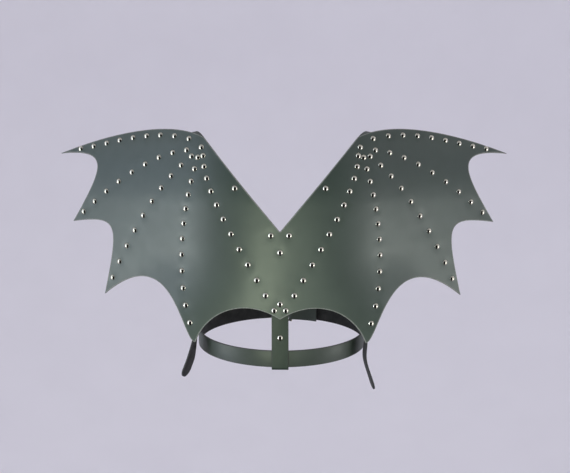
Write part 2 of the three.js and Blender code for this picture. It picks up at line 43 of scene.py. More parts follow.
SIDES = {"right": 1, "left": -1}

# Leather, and the gap between pieces that lie on each other
LEATHER = 2.5
STRAP_WIDTH = 25.0
CLEAR = 0.8
EDGE_ROUND = 0.7
CORNER_STEPS = 4
CORNER_POINTS = 6
SHARP_ANGLE = math.radians(40)

# Share of the room at an edge that its inset may use up, and a length that counts as nothing
ROOM_SHARE = 0.7
TINY = 1e-6

# Bent form of the panel: curved across the back, wings swept forward, top leaning over the shoulders,
# waist arms bent less
BACK_Y = -75.0
BEND_RADIUS = 330.0
SWEEP = math.radians(28)
BEND_END = BEND_RADIUS * math.sin(SWEEP)
LEAN_FROM_Z = -110.0
LEAN_RADIUS = 220.0
TUCK = {"share": 0.55, "from_z": -180.0, "fall": 150.0, "from_x": 150.0, "fade": 80.0}

# Slow unevenness of the hide: height, length along X and Z, and where the wave starts
WAVES = [
    {"height": 0.35, "x": 61.0, "z": 47.0, "start": 0.6},
    {"height": 0.25, "x": -83.0, "z": 39.0, "start": 2.1},
]

# Right half of the cut outline, from the point of the V to the point over the tab, as (x, z)
V_POINT = (0.0, -145.5)
OUTLINE = {
    "neckline": {"handles": [], "to": (114.0, -9.0)},
    "top": {"handles": [(185.0, 26.0), (324.0, -22.0)], "to": (362.0, -36.0)},
    "upper scallop": {"handles": [(262.0, -26.0), (285.0, -64.0)], "to": (338.0, -144.5)},
    "middle scallop": {"handles": [(254.0, -131.0), (254.0, -140.0)], "to": (283.0, -258.0)},
    "lower scallop": {"handles": [(160.0, -155.0), (149.0, -311.0)], "to": (127.0, -313.0)},
    "waist arch": {"handles": [(110.0, -265.0), (52.0, -241.0)], "to": (0.0, -275.5)},
}
CURVE_POINTS = 400
CORNER_CUT = 1.8
OUTLINE_STEP = 2.0

# Mesh of the panel: steps of its grid, how far it stays from the outline, and the least gap of points
GRID_STEP = 6.0
GRID_ROW = GRID_STEP * math.sqrt(0.75)
GRID_MARGIN = 2.6
GRID_GAP = 1.5
SLOPE_STEP = 0.5

# Rivets: a domed cap on the outer face, a post through the leather and a flatter cap behind
RIVET = {"radius": 4.4, "roll": 0.25, "slope": 57, "post": 1.7}
BACK_CAP = {"radius": 3.8, "roll": 0.25, "slope": 28, "steps": 6}
RIVET_SEGMENTS = 32
ROLL_STEPS = 6
DIMPLE = {"depth": 0.35, "from": 4.4, "fade": 5.0, "rings": (4.4, 5.6, 7.2, 9.2), "points": 16}

# Rows of rivets on the right half, stepped along a curve: first rivet, two handles, last rivet
RIVET_ROWS = {
    "top_edge": {"count": 9, "curve": [(325, -28), (262, -18), (202, 4), (138, -11)]},
    "upper_rib": {"count": 9, "curve": [(318, -128), (264, -82), (200, -34), (141, -28)]},
    "lower_rib": {"count": 10, "curve": [(268, -230), (231, -150), (181, -73), (133, -37)]},
    "waist_rib": {"count": 12, "curve": [(135.5, -284), (165, -191), (140, -97), (123, -38.5)]},
    "back_rib": {"count": 12, "curve": [(8.5, -262), (54, -181), (113, -90), (115, -36)]},
}

# Rivets that hold a strap or a clasp under the panel
HOLDING = [
    {"name": "rivet_shoulder_top", "at": (118.0, -23.5), "holds": "strap"},
    {"name": "rivet_neckline", "at": (66.3, -82.7), "holds": "strap"},
    {"name": "rivet_v_side", "at": (13.3, -151.0), "holds": "strap"},
    {"name": "rivet_waist", "at": (135.5, -284.0), "holds": "clasp"},
    {"name": "rivet_spine_foot", "at": (8.5, -262.0), "holds": "spine"},
    {"name": "rivet_spine_top", "at": (0.0, -176.0), "holds": "spine"},
    {"name": "rivet_spine_middle", "at": (0.0, -252.5), "holds": "spine"},
]

# Spine strap: under the panel, then round the belt and back up behind it
SPINE_TOP_Z = -166.0
SPINE_RIVET_Z = -303.5
SPINE_RETURN = {"above_belt": 1.5, "join_z": -309.0, "end_z": -292.0}
LOOP = {"clear": 1.0, "rise": 0.9}
LOOP_RIVET_SUNK = 0.1
SPINE_STEPS = {"straight": 40, "turn": 24, "fold": 8}

# Waist belt: an ellipse in plan, lower at the back than at the front
BELT = {"half_width": 132.0, "half_depth": 95.0, "back_z": -336.5, "tilt": math.radians(10.3)}
BELT_STEPS = {"fold": 20, "turn": 16, "round": 220}
BUCKLE = {"heel_x": 14.0, "far_x": -14.0, "bar": 1.2, "frame": 1.7, "reach": 15.5, "prong": 1.1}
PRONG_X = (9.0, 3.0)
BELT_FOLD = 44.0
BELT_TAIL = {"length": 80.0, "climb_from_x": -31.0, "climb_to_x": 8.0, "point": 12.5, "blunt": 4.0}
BELT_HOLES = (25.0, 50.0)

# Rods of the buckle; aside is a way that none of them runs along
ROD = {"segments": 20, "caps": (75, 50, 25), "steps": 16, "prong_steps": 24, "aside": (0.3, 0.5, 0.81)}

# Shoulder strap past the panel, right side: centre of the strap and the way its outer face looks
STRAP_INSET = 0.5
STRAP_END_SKEW = 4.0
STRAP_STEPS = {"neckline": 60, "leaving": 13, "span": 14}
STRAP_TIP = {"turns": (6, 87), "steps": 14}
STRAP_ROUTE = {
    "top of the shoulder": {"at": (141, 8, -4), "face": (0.25, 0.05, 1)},
    "front of the shoulder": {"at": (150, 42, -20), "face": (0.35, 0.7, 0.62)},
    "chest": {"at": (154, 66, -58), "face": (0.4, 0.88, 0.25)},
    "front of the armpit": {"at": (155, 74, -104), "face": (0.5, 0.86, -0.05)},
    "below the armpit": {"at": (157, 66, -150), "face": (0.75, 0.65, -0.12)},
    "ribs": {"at": (158, 46, -195), "face": (0.93, 0.35, -0.1)},
    "side": {"at": (149, 18, -240), "face": (0.97, 0.02, -0.2)},
    "above the clasp": {"at": (133.5, -14, -277), "face": (0.98, -0.08, -0.15)},
}
STUD = {"at": (130.0, -27.0, -301.0), "post": 1.8, "head": 4.0, "roll": 0.4, "slope": 50, "hole": 3.0}

# Free ends of the straps, both given on the right side
STRAP_TAILS = {
    "left": [
        {"at": (132.5, -28.5, -319), "face": (0.97, 0.14, 0.2)},
        {"at": (138, -30, -345), "face": (0.9, 0.34, 0.25)},
        {"at": (144.5, -30, -363), "face": (0.88, 0.38, 0.3)},
    ],
    "right": [
        {"at": (129.6, -28, -319), "face": (0.99, 0.05, -0.04)},
        {"at": (128.5, -28, -346), "face": (0.98, 0.11, 0.17)},
        {"at": (139, -28, -381), "face": (0.94, 0.15, 0.31)},
    ],
}
TAIL_HOLES = {"radius": 1.6, "back": (22.0, 36.0, 50.0), "steps": 40}
HOLE_SEGMENTS = 24

# Clasp: a foot behind the panel and a plate with the stud
CLASP = {"seat": 1.3, "plate": 2.0, "foot_wide": 17.0, "foot_tall": 15.0, "heel_tall": 14.0}
CLASP_EDGE = {"corner": 2.0, "round": 0.4}
CLASP_TIP = {"radius": 8.0, "arc": (-126, 63), "steps": 24}

# Camera: the way the photograph looks at the wings, and its lens
CAMERA = {"azimuth": 1.29, "elevation": 7.0, "distance": 1250.0, "target": (7.4, -75.0, -152.0)}
LENS = {"lens": 54.4, "clip_start": 0.05}

# Stage: a round pale floor that turns up into a wall
STAGE = {"floor_z": -1600.0, "radius": 4200.0, "turn": 2000.0, "height": 3600.0}
STAGE_STEPS = {"turn": 24, "round": 129, "wedge": 25, "roof": 65}
FLOOR_TONES = ((0.77, 0.75, 0.80), (0.79, 0.77, 0.82))
WORLD = {"Color": (0.86, 0.86, 0.9, 1), "Strength": 1.0}

# Softboxes that look at the middle of the wings: name, azimuth, elevation, distance and size in metres,
# brightness and colour. The strips light the leather only.
MIDDLE = (0.0, 0.0, -0.15)
SOFTBOXES = [
    ("left", -64, 6, 1.7, (0.8, 2.7), 1.5, (0.60, 0.76, 1.0)),
    ("left_inner", -51, 0, 1.7, (0.3, 2.6), 0.3, (0.92, 1.0, 0.95)),
    ("right", 67, 0, 1.7, (1.0, 2.6), 0.14, (0.82, 0.80, 1.0)),
    ("right_inner", 51, 0, 1.7, (0.3, 2.6), 0.3, (0.92, 1.0, 0.95)),
    ("low_left", -62.5, -12, 1.5, (0.4, 0.4), 9.5, (0.94, 1.0, 0.92)),
    ("low_right", 62, -13, 1.5, (0.4, 0.4), 9.0, (0.94, 1.0, 0.92)),
    ("strip_left", -11, -15, 1.25, (0.3, 0.3), 16.5, (0.88, 1.0, 0.74)),
    ("strip_right", 12, -13, 1.25, (0.5, 0.4), 3.0, (0.86, 1.0, 0.80)),
]

# Black flag round the camera's side, out of the picture: half its angle, the radius of its floor cloth,
# its height over the floor, and how far in it comes at the top. A pale roof fills the rest of the top.
FLAG = {"half_angle": 44.0, "cloth": 900.0, "above_floor": 10.0, "top": 2500.0}


# Small tools for points and meshes


def unit(v):
    v = np.asarray(v, float)
    return v / np.linalg.norm(v, axis=-1, keepdims=True)


def smooth(t):
    s = np.clip(t, 0, 1)
    return s * s * (3 - 2 * s)


def bezier(points, count):
    """Points of a cubic curve, evenly stepped in its parameter, both ends among them."""
    p = np.asarray(points, float)
    t = np.linspace(0, 1, count)[:, None]
    return (1 - t) ** 3 * p[0] + 3 * (1 - t) ** 2 * t * p[1] + 3 * (1 - t) * t**2 * p[2] + t**3 * p[3]


def along(points, places):
    """Points at the given lengths along a line of points."""
    p = np.asarray(points, float)
    length = np.concatenate([[0], np.cumsum(np.linalg.norm(np.diff(p, axis=0), axis=1))])
    return np.stack([np.interp(places, length, column) for column in p.T], axis=1)


def length_of(points):
    return float(np.linalg.norm(np.diff(np.asarray(points, float), axis=0), axis=1).sum())


def outward(points, faces):
    """The faces, turned so that a closed mesh looks outwards."""
    volume = 0.0
    for face in faces:
        first = points[face[0]]
        for b, c in zip(face[1:-1], face[2:]):
            volume += float(np.dot(first, np.cross(points[b], points[c])))
    return faces if volume > 0 else [list(reversed(face)) for face in faces]


def quads(first, second, count):
    """Faces between two closed rings of points, by the number of each ring's first point."""
    return [[first + j, first + i, second + i, second + j] for i, j in enumerate([*range(1, count), 0])]


def circle(angles):
    return np.stack([np.cos(angles), np.sin(angles)], axis=1)


def round_turn(count):
    return np.linspace(0, 2 * math.pi, count, endpoint=False)


def turned(profile, angles):
    """A ring of points about the Z axis for each (radius, height) of a profile."""
    return [np.column_stack([r * circle(angles), np.full(len(angles), h)]) for r, h in profile]


def arc(centre, radius, start, end, count):
    """Points of an arc between two angles in degrees."""
    return np.asarray(centre, float) + radius * circle(np.radians(np.linspace(start, end, count)))


def add_mesh(name, points, faces, materials, tags=None):
    """A new smooth mesh object from millimetre points; tags give each face its material."""
    mesh = bpy.data.meshes.new(name)
    places = (np.asarray(points, float) * MM).tolist()
    mesh.from_pydata(places, [], [list(map(int, face)) for face in faces])
    for material in materials:
        mesh.materials.append(material)
    if tags is not None:
        mesh.polygons.foreach_set("material_index", np.asarray(tags, np.int32))
    mesh.polygons.foreach_set("use_smooth", np.ones(len(mesh.polygons), bool))
    mesh.update()
    piece = bpy.data.objects.new(name, mesh)
    bpy.context.scene.collection.objects.link(piece)
    return piece


def belongs(piece, slot, *nodes):
    """The piece rides on the part and stands for the nodes it is named for; slot is not used."""
    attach(piece, "root")
    if nodes:
        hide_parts(*nodes)
    return piece


def boolean(piece, others, operation):
    """Joins or cuts a mesh with others, which are used up."""
    for other in others:
        modifier = piece.modifiers.new("cut", "BOOLEAN")
        modifier.object = other
        modifier.operation = operation
        modifier.solver = "EXACT"
    shaped = bpy.data.meshes.new_from_object(piece.evaluated_get(bpy.context.evaluated_depsgraph_get()))
    piece.modifiers.clear()
    old = piece.data
    piece.data = shaped
    bpy.data.meshes.remove(old)
    shaped.name = piece.name
    shaped.set_sharp_from_angle(angle=SHARP_ANGLE)
    for other in others:
        spare = other.data
        bpy.data.objects.remove(other)
        bpy.data.meshes.remove(spare)


def moved(mesh, change):
    """Puts each point of a finished mesh where change(points) says."""
    places = np.empty(len(mesh.vertices) * 3)
    mesh.vertices.foreach_get("co", places)
    mesh.vertices.foreach_set("co", change(places.reshape(-1, 3)).ravel())
    mesh.update()


def mirror(piece):
    """Turns a right-hand piece into a left-hand one."""
    moved(piece.data, lambda places: places * (-1, 1, 1))
    piece.data.flip_normals()
    piece.data.update()


# The bent sheet


def bend(x):
    across = np.abs(x)
    curved = np.minimum(across, BEND_END)
    drop = BEND_RADIUS - np.sqrt(BEND_RADIUS**2 - curved**2)
    return drop + (across - curved) * math.tan(SWEEP)


def lean(z):
    rise = np.maximum(0, z - LEAN_FROM_Z)
    return LEAN_RADIUS - np.sqrt(LEAN_RADIUS**2 - rise**2)


def wave(x, z):
    return sum(w["height"] * np.sin(x / w["x"] + z / w["z"] + w["start"]) for w in WAVES)


def sheet_y(x, z):
    low = smooth((TUCK["from_z"] - z) / TUCK["fall"])
    arm = 1 - smooth((np.abs(x) - TUCK["from_x"]) / TUCK["fade"])
    return BACK_Y + bend(x) * (1 - TUCK["share"] * low * arm) + lean(z) + wave(x, z)


def sheet_slopes(x, z):
    """How fast the sheet's depth changes along X and along Z."""
    h = SLOPE_STEP
    slope_x = (sheet_y(x + h, z) - sheet_y(x - h, z)) / (2 * h)
    slope_z = (sheet_y(x, z + h) - sheet_y(x, z - h)) / (2 * h)
    return slope_x, slope_z


def sheet_normal(x, z):
    slope_x, slope_z = sheet_slopes(x, z)
    return unit(np.stack([slope_x, -np.ones_like(slope_x), slope_z], axis=-1))


def under_sheet(place, depth):
    """Points under the outer face of the sheet at places (x, z), measured square to it."""
    x, z = np.asarray(place, float).T
    face = np.stack([x, sheet_y(x, z), z], axis=-1)
    return face - sheet_normal(x, z) * np.reshape(depth, (-1, 1))


# Slabs: a flat outline with rounded edges, laid on any surface


def inside(polygon, points):
    """True for each point that lies in a closed outline."""
    found = np.zeros(len(points), bool)
    for (x1, z1), (x2, z2) in zip(polygon, np.roll(polygon, -1, axis=0)):
        if z1 != z2:
            crosses = (z1 > points[:, 1]) != (z2 > points[:, 1])
            found ^= crosses & (points[:, 0] < (x2 - x1) * (points[:, 1] - z1) / (z2 - z1) + x1)
    return found


def inward_normals(polygon):
    """Inward normals of an anticlockwise outline, and how deep it can be inset at each point."""
    way = unit(np.roll(polygon, -1, axis=0) - np.roll(polygon, 1, axis=0))
    normal = np.stack([-way[:, 1], way[:, 0]], axis=1)
    apart = polygon[None] - polygon[:, None]
    ahead = np.einsum("ijk,ik->ij", apart, normal)
    squared = (apart**2).sum(axis=2)
    radius = np.where(ahead > TINY, squared / np.maximum(2 * ahead, TINY), np.inf)
    return normal, radius.min(axis=1)


def edge_profile(thickness, rounding):
    """Inset and depth of the rings that lead round an edge, from the outer face to the inner one."""
    turns = np.radians(np.linspace(90, 0, CORNER_STEPS + 1))
    top = [(rounding * (1 - math.cos(a)), rounding * (1 - math.sin(a))) for a in turns]
    bottom = [(inset, thickness - depth) for inset, depth in reversed(top)]
    return [(2 * rounding, 0.0), *top, *bottom, (2 * rounding, thickness)]


def slab(polygon, thickness, rounding, place, fill):
    """A closed sheet on a surface. Faces are tagged 0 outer, 1 edge and 2 inner.
    place(points, depth) lays flat points on the surface, and fill holds flat points of the inside."""
    polygon = np.asarray(polygon, float)
    area = np.cross(polygon, np.roll(polygon, -1, axis=0)).sum()
    if area < 0:
        polygon = polygon[::-1]
    normal, room = inward_normals(polygon)
    profile = edge_profile(thickness, rounding)
    rings = [polygon + normal * np.minimum(inset, inset / (2 * rounding) * room * ROOM_SHARE)[:, None]
             for inset, _ in profile]
    rim = rings[0]
    count = len(rim)
    flat = [Vector(p) for p in rim] + [Vector(p) for p in fill]
    flat, _, triangles, *_ = delaunay_2d_cdt(flat, [], [list(range(count))], 1, TINY)
    flat = np.array([tuple(p) for p in flat])
    layers = [place(flat, profile[0][1])]
    layers += [place(ring, depth) for ring, (_, depth) in zip(rings[1:-1], profile[1:-1])]
    layers.append(place(flat, profile[-1][1]))
    starts = np.concatenate([[0], np.cumsum([len(layer) for layer in layers])])[:-1]
    faces = [list(t) for t in triangles]
    tags = [0] * len(faces)
    for first, second in zip(starts, starts[1:]):
        faces += quads(first, second, count)
        tags += [1] * count
    faces += [[starts[-1] + i for i in reversed(t)] for t in triangles]
    tags += [2] * len(triangles)
    points = np.concatenate(layers)
    return points, outward(points, faces), tags


# Bands: a strap's section swept along a line


def band_section(width):
    """A rounded section as (across, out), from the outer right corner anticlockwise."""
    r = min(EDGE_ROUND, width / 2)
    points = []
    for quarter, (a, o) in enumerate([(1, 1), (-1, 1), (-1, -1), (1, -1)]):
        for angle in np.radians(np.linspace(0, 90, CORNER_STEPS + 1) + 90 * quarter):
            across = a * (width / 2 - r) + r * math.cos(angle)
            out = o * (LEATHER / 2 - r) + r * math.sin(angle)
            points.append((across, out))
    return np.array(points)


def band(centres, across, out, widths):
    """A closed strap through centres; faces are tagged 0 outer, 1 edge and 2 inner."""
    layers = []
    for centre, a, o, width in zip(centres, across, out, widths):
        section = band_section(width)
        layers.append(centre + section[:, :1] * a + section[:, 1:] * o)
    points = np.concatenate(layers)
    count = len(layers[0])
    per_corner = CORNER_STEPS + 1
    kinds = {per_corner - 1: 0, 3 * per_corner - 1: 2}
    last = (len(layers) - 1) * count
    faces = [list(range(count))]
    tags = [1]
    for first in range(0, last, count):
        faces += quads(first, first + count, count)
        tags += [kinds.get(i, 1) for i in range(count)]
    faces.append([last + i for i in reversed(range(count))])
    tags.append(1)
    return points, outward(points, faces), tags


def lathe(profile, segments):
    """A turned body about +Z from (radius, height) points that start and end on the axis."""
    profile = np.asarray(profile, float)
    inner = profile[1:-1]
    rings = turned(inner, round_turn(segments))
    points = np.concatenate([[(0, 0, profile[0, 1])], *rings, [(0, 0, profile[-1, 1])]])
    top = len(points) - 1
    last = top - segments
    faces = []
    for i in range(segments):
        j = (i + 1) % segments
        faces.append([0, 1 + j, 1 + i])
        for k in range(len(inner) - 1):
            a, b = 1 + k * segments, 1 + (k + 1) * segments
            faces.append([a + i, a + j, b + j, b + i])
        faces.append([top, last + i, last + j])
    return points, outward(points, faces)


def tube(line, radius):
    """A round rod along a line of points, with rounded ends."""
    line = np.asarray(line, float)
    way = unit(np.gradient(line, axis=0))
    side = unit(np.cross(way[0], ROD["aside"]))
    segments = ROD["segments"]
    turn = round_turn(segments)

    def ring(centre, tangent, reach):
        u = unit(side - tangent * np.dot(side, tangent))
        v = np.cross(tangent, u)
        return centre + reach * (np.cos(turn)[:, None] * u + np.sin(turn)[:, None] * v)

    def cap(end, sign, angle):
        away = way[end] * radius * math.sin(angle)
        return ring(line[end] + sign * away, way[end], radius * math.cos(angle))

    caps = np.radians(ROD["caps"])
    rings = [cap(0, -1, angle) for angle in caps]
    rings += [ring(centre, tangent, radius) for centre, tangent in zip(line, way)]
    rings += [cap(-1, 1, angle) for angle in reversed(caps)]
    points = np.concatenate(rings)
    last = len(points) - segments
    faces = [list(range(segments))]
    for first in range(0, last, segments):
        faces += quads(first, first + segments, segments)
    faces.append([last + i for i in reversed(range(segments))])
    return points, outward(points, faces)


# Materials


def set_inputs(node, values):
    for name, value in values.items():
        node.inputs[name].default_value = value


def node_tree(name, values):
    """A new material, with these values on its shader."""
    material = bpy.data.materials.new(name)
    material.use_nodes = True
    tree = material.node_tree
    shader = tree.nodes["Principled BSDF"]
    set_inputs(shader, values)
    return material, tree, shader


def in_metres(tree, texture, values):
    """Lays a texture in the part's own metres."""
    place = tree.nodes.new("ShaderNodeTexCoord")
    tree.links.new(place.outputs["Object"], texture.inputs["Vector"])
    set_inputs(texture, values)


def noise(tree, scale, detail, roughness=0.55):
    texture = tree.nodes.new("ShaderNodeTexNoise")
    in_metres(tree, texture, {"Scale": scale, "Detail": detail, "Roughness": roughness})
    return texture.outputs["Fac"]


def pores(tree, scale):
    """Small cells, as of a fine grained hide."""
    cells = tree.nodes.new("ShaderNodeTexVoronoi")
    cells.feature = "SMOOTH_F1"
    in_metres(tree, cells, {"Scale": scale, "Smoothness": 0.6})
    return cells.outputs["Distance"]


def spread(tree, value, low, high):
    """The middle of a texture's values stretched to a range."""
    node = tree.nodes.new("ShaderNodeMapRange")
    set_inputs(node, {"From Min": 0.3, "From Max": 0.7, "To Min": low, "To Max": high})
    tree.links.new(value, node.inputs["Value"])
    return node.outputs["Result"]


def toned(tree, shader, value, dark, light):
    """Gives the surface a colour between two tones, by a texture's value."""
    node = tree.nodes.new("ShaderNodeMix")
    node.data_type = "RGBA"
    set_inputs(node, {"A": (*dark, 1), "B": (*light, 1)})
    tree.links.new(spread(tree, value, 0, 1), node.inputs["Factor"])
    tree.links.new(node.outputs["Result"], shader.inputs["Base Color"])


def bump(tree, shader, layers):
    """Bump from several textures: each row has a value, a height in metres and a strength."""
    normal = None
    for value, height, strength in layers:
        node = tree.nodes.new("ShaderNodeBump")
        set_inputs(node, {"Distance": height, "Strength": strength})
        tree.links.new(value, node.inputs["Height"])
        if normal is not None:
            tree.links.new(normal, node.inputs["Normal"])
        normal = node.outputs["Normal"]
    tree.links.new(normal, shader.inputs["Normal"])


def leather(name, dark, light, rough, wax):
    """Smooth satin black leather: a waxed coat, faint pores, slow changes of tone and of gloss."""
    material, tree, shader = node_tree(name, {"Coat Weight": wax, "Coat Roughness": 0.34})
    toned(tree, shader, noise(tree, 14.0, 4.0), dark, light)
    gloss = spread(tree, noise(tree, 60.0, 5.0), rough - 0.04, rough + 0.05)
    tree.links.new(gloss, shader.inputs["Roughness"])
    bump(tree, shader, [
        (noise(tree, 45.0, 2.0), 0.0006, 0.05),
        (pores(tree, 900.0), 0.00012, 0.22),
        (noise(tree, 2600.0, 2.0), 0.00005, 0.2),
    ])
    return material


def cut_edge(name, dark, light):
    """The cut edge: paler fibre, rubbed; on the straps its tones are painted dark, as painted shade."""
    material, tree, shader = node_tree(name, {"Roughness": 0.6})
    toned(tree, shader, noise(tree, 420.0, 4.0), dark, light)
    bump(tree, shader, [(noise(tree, 1500.0, 3.0), 0.0002, 0.3)])
    return material


def flesh_side(name):
    """The inner side: matt, napped and dark."""
    look = {"Roughness": 0.86, "Specular IOR Level": 0.25, "Sheen Weight": 0.08, "Sheen Roughness": 0.5}
    material, tree, shader = node_tree(name, look)
    toned(tree, shader, noise(tree, 90.0, 6.0, 0.65), (0.011, 0.011, 0.012), (0.026, 0.025, 0.025))
    bump(tree, shader, [
        (noise(tree, 380.0, 5.0, 0.7), 0.0004, 0.4),
        (noise(tree, 1800.0, 3.0), 0.00015, 0.35),
    ])
    return material


def polished(name, dark, light, rough):
    """Polished nickel, with faint rubbing marks."""
    material, tree, shader = node_tree(name, {"Metallic": 1.0})
    toned(tree, shader, noise(tree, 120.0, 3.0), dark, light)
    gloss = spread(tree, noise(tree, 700.0, 4.0), rough - 0.02, rough + 0.05)
    tree.links.new(gloss, shader.inputs["Roughness"])
    bump(tree, shader, [(noise(tree, 260.0, 2.0), 0.0001, 0.06)])
    return material


PANEL_FINISH = [
    leather("panel_leather", (0.018, 0.031, 0.024), (0.025, 0.040, 0.032), 0.50, 0.55),
    cut_edge("panel_cut_edge", (0.09, 0.095, 0.088), (0.20, 0.205, 0.19)),
    flesh_side("panel_flesh_side"),
]
STRAP_FINISH = [
    leather("strap_leather", (0.019, 0.027, 0.021), (0.027, 0.036, 0.029), 0.54, 0.25),
    # Strap edges: painted shade, given dark tones where the panel's cut edge is pale.
    cut_edge("strap_cut_edge_painted_shade", (0.02, 0.021, 0.02), (0.05, 0.051, 0.048)),
    flesh_side("strap_flesh_side"),
]
# Spine strap: the straps' leather painted darker all over, as painted shade from the panel above it.
SPINE_FINISH_PAINTED_SHADE = [
    leather("spine_leather_painted_shade", (0.009, 0.019, 0.011), (0.014, 0.026, 0.017), 0.62, 0.12),
    *STRAP_FINISH[1:],
]
NICKEL = polished("polished_nickel", (0.67, 0.65, 0.54), (0.77, 0.75, 0.63), 0.09)


# Rivets


def trim_places():
    """Places of the trim rivets on the right half, without those that hold a strap or a clasp."""
    places = np.concatenate([bezier(row["curve"], row["count"]) for row in RIVET_ROWS.values()])
    held = np.array([row["at"] for row in HOLDING])
    gap = np.linalg.norm(places[:, None] - held[None], axis=2).min(axis=1)
    return places[gap > RIVET["radius"]]


def holding_places():
    """Name, place and what is held, for each rivet that holds something under the panel."""
    rows = []
    for row in HOLDING:
        x, z = row["at"]
        if x == 0:
            rows.append((row["name"], x, z, row["holds"]))
        else:
            rows += [(f"{row['name']}_{side}", sign * x, z, row["holds"]) for side, sign in SIDES.items()]
    return rows


def dome(radius, roll, slope, steps=10):
    """A low dome with a rolled edge, as (radius, height) above its seat from the edge to the middle.
    slope is the angle in degrees at which the dome meets its edge."""
    steep = math.radians(slope)
    ball = (radius - roll) / math.sin(steep) + roll
    centre = roll + (roll - ball) * math.cos(steep)
    points = []
    for angle in np.linspace(math.pi, steep, ROLL_STEPS):
        points.append((radius - roll + roll * math.sin(angle), roll + roll * math.cos(angle)))
    for angle in np.linspace(steep, 0, steps)[1:]:
        points.append((ball * math.sin(angle), centre + ball * math.cos(angle)))
    return points


def rivet_profile(stack, sunk):
    """A whole rivet, from the middle of its back cap to the middle of its domed head."""
    under = -stack
    back = [(r, under - h) for r, h in dome(**BACK_CAP)]
    head = [(r, h - sunk) for r, h in dome(RIVET["radius"], RIVET["roll"], RIVET["slope"])]
    return [*reversed(back), (RIVET["post"], under), (RIVET["post"], -sunk), *head]


def stand(points, origin, normal):
    """Turned points, made along +Z, stood on a place along a normal."""
    side = unit(np.cross((0.0, 0.0, 1.0), normal))
    up = np.cross(normal, side)
    return origin + points[:, :1] * side + points[:, 1:2] * up + points[:, 2:] * normal


def seat(x, z):
    """A place on the outer face of the sheet, and the way the face looks there."""
    place = np.array([[x, z]])
    return under_sheet(place, 0)[0], sheet_normal(*place.T)[0]


def rivet_at(x, z, stack):
    points, faces = lathe(rivet_profile(stack, DIMPLE["depth"]), RIVET_SEGMENTS)
    return stand(points, *seat(x, z)), faces


def joined(bodies):
    """Several bodies as one list of points and faces."""
    points, faces, start = [], [], 0
    for some_points, some_faces in bodies:
        points.append(some_points)
        faces += [[start + i for i in face] for face in some_faces]
        start += len(some_points)
    return np.concatenate(points), faces


# Panel


def outline_edges():
    """Edges of the right half as lines of points, then those of the left half, all the way round."""
    right = []
    start = V_POINT
    for row in OUTLINE.values():
        if row["handles"]:
            right.append(bezier([start, *row["handles"], row["to"]], CURVE_POINTS))
        else:
            right.append(np.linspace(start, row["to"], CURVE_POINTS))
        start = row["to"]
    left = [edge[::-1] * (-1, 1) for edge in reversed(right)]
    return right + left


def outline():
    """The cut outline, with its corners just taken off."""
    edges = outline_edges()
    polygon = []
    for edge, after in zip(edges, edges[1:] + edges[:1]):
        length = length_of(edge)
        steps = round(length / OUTLINE_STEP)
        run = along(edge, np.linspace(CORNER_CUT, length - CORNER_CUT, steps))
        following = along(after, [CORNER_CUT])[0]
        corner = edge[-1]
        t = np.linspace(0, 1, CORNER_POINTS)[1:-1, None]
        polygon += [run, (1 - t) ** 2 * run[-1] + 2 * t * (1 - t) * corner + t**2 * following]
    return np.concatenate(polygon)


def all_rivet_places():
    trim = trim_places()
    held = np.array([(x, z) for _, x, z, _ in holding_places()])
    return np.concatenate([trim, trim * (-1, 1), held])


def panel_fill(polygon, rivets):
    """Points of the inside: close rings round the rivets, and an even grid elsewhere."""
    x, z = rivets.T
    stretch_x, stretch_z = (np.sqrt(1 + slope**2) for slope in sheet_slopes(x, z))
    turn = round_turn(DIMPLE["points"])
    wanted = [rivets]
    for i, radius in enumerate(DIMPLE["rings"]):
        angle = turn + (i % 2) * math.pi / DIMPLE["points"]
        ring_x = x[:, None] + radius * np.cos(angle) / stretch_x[:, None]
        ring_z = z[:, None] + radius * np.sin(angle) / stretch_z[:, None]
        wanted.append(np.stack([ring_x.ravel(), ring_z.ravel()], axis=1))
    low, high = polygon.min(axis=0), polygon.max(axis=0)
    for k, row in enumerate(np.arange(low[1], high[1], GRID_ROW)):
        grid_x = np.arange(low[0] + (k % 2) * GRID_STEP / 2, high[0], GRID_STEP)
        wanted.append(np.stack([grid_x, np.full(len(grid_x), row)], axis=1))
    wanted = np.concatenate(wanted)
    wanted = wanted[inside(polygon, wanted)]
    near_edge = np.linalg.norm(wanted[:, None] - polygon[None], axis=2).min(axis=1)
    wanted = wanted[near_edge > GRID_MARGIN]
    taken, kept = set(), []
    for place in wanted:
        i, j = int(place[0] // GRID_GAP), int(place[1] // GRID_GAP)
        if not any((i + a, j + b) in taken for a in (-1, 0, 1) for b in (-1, 0, 1)):
            taken.add((i, j))
            kept.append(place)
    return np.array(kept)


def make_panel():
    polygon = outline()
    rivets = all_rivet_places()
    heads = under_sheet(rivets, 0)

    def place(points, depth):
        face = under_sheet(points, 0)
        gap = np.linalg.norm(face[:, None] - heads[None], axis=2).min(axis=1)
        press = DIMPLE["depth"] * (1 - smooth((gap - DIMPLE["from"]) / DIMPLE["fade"]))
        return under_sheet(points, depth + press * (1 - depth / LEATHER))

    points, faces, tags = slab(polygon, LEATHER, EDGE_ROUND, place, panel_fill(polygon, rivets))
    panel = add_mesh("wing_panel_leather", points, faces, PANEL_FINISH, tags)
    return belongs(panel, "leather", "wing_panel")


def make_trim_rivets():
    for side, sign in SIDES.items():
        bodies = [rivet_at(sign * x, z, LEATHER) for x, z in trim_places()]
        piece = add_mesh(f"trim_rivets_{side}", *joined(bodies), [NICKEL])
        belongs(piece, "metal")


SPINE_Y = BACK_Y + LEATHER + CLEAR + LEATHER / 2
BELT_BACK_Y = SPINE_Y + LEATHER / 2 + CLEAR
LOOP_RADIUS = LEATHER + LOOP["clear"]
STACKS = {
    "strap": 2 * LEATHER + CLEAR,
    "spine": 2 * LEATHER + CLEAR,
    "clasp": LEATHER + CLASP["seat"] + CLASP["plate"],
    "loop": LEATHER + LOOP_RADIUS,
}


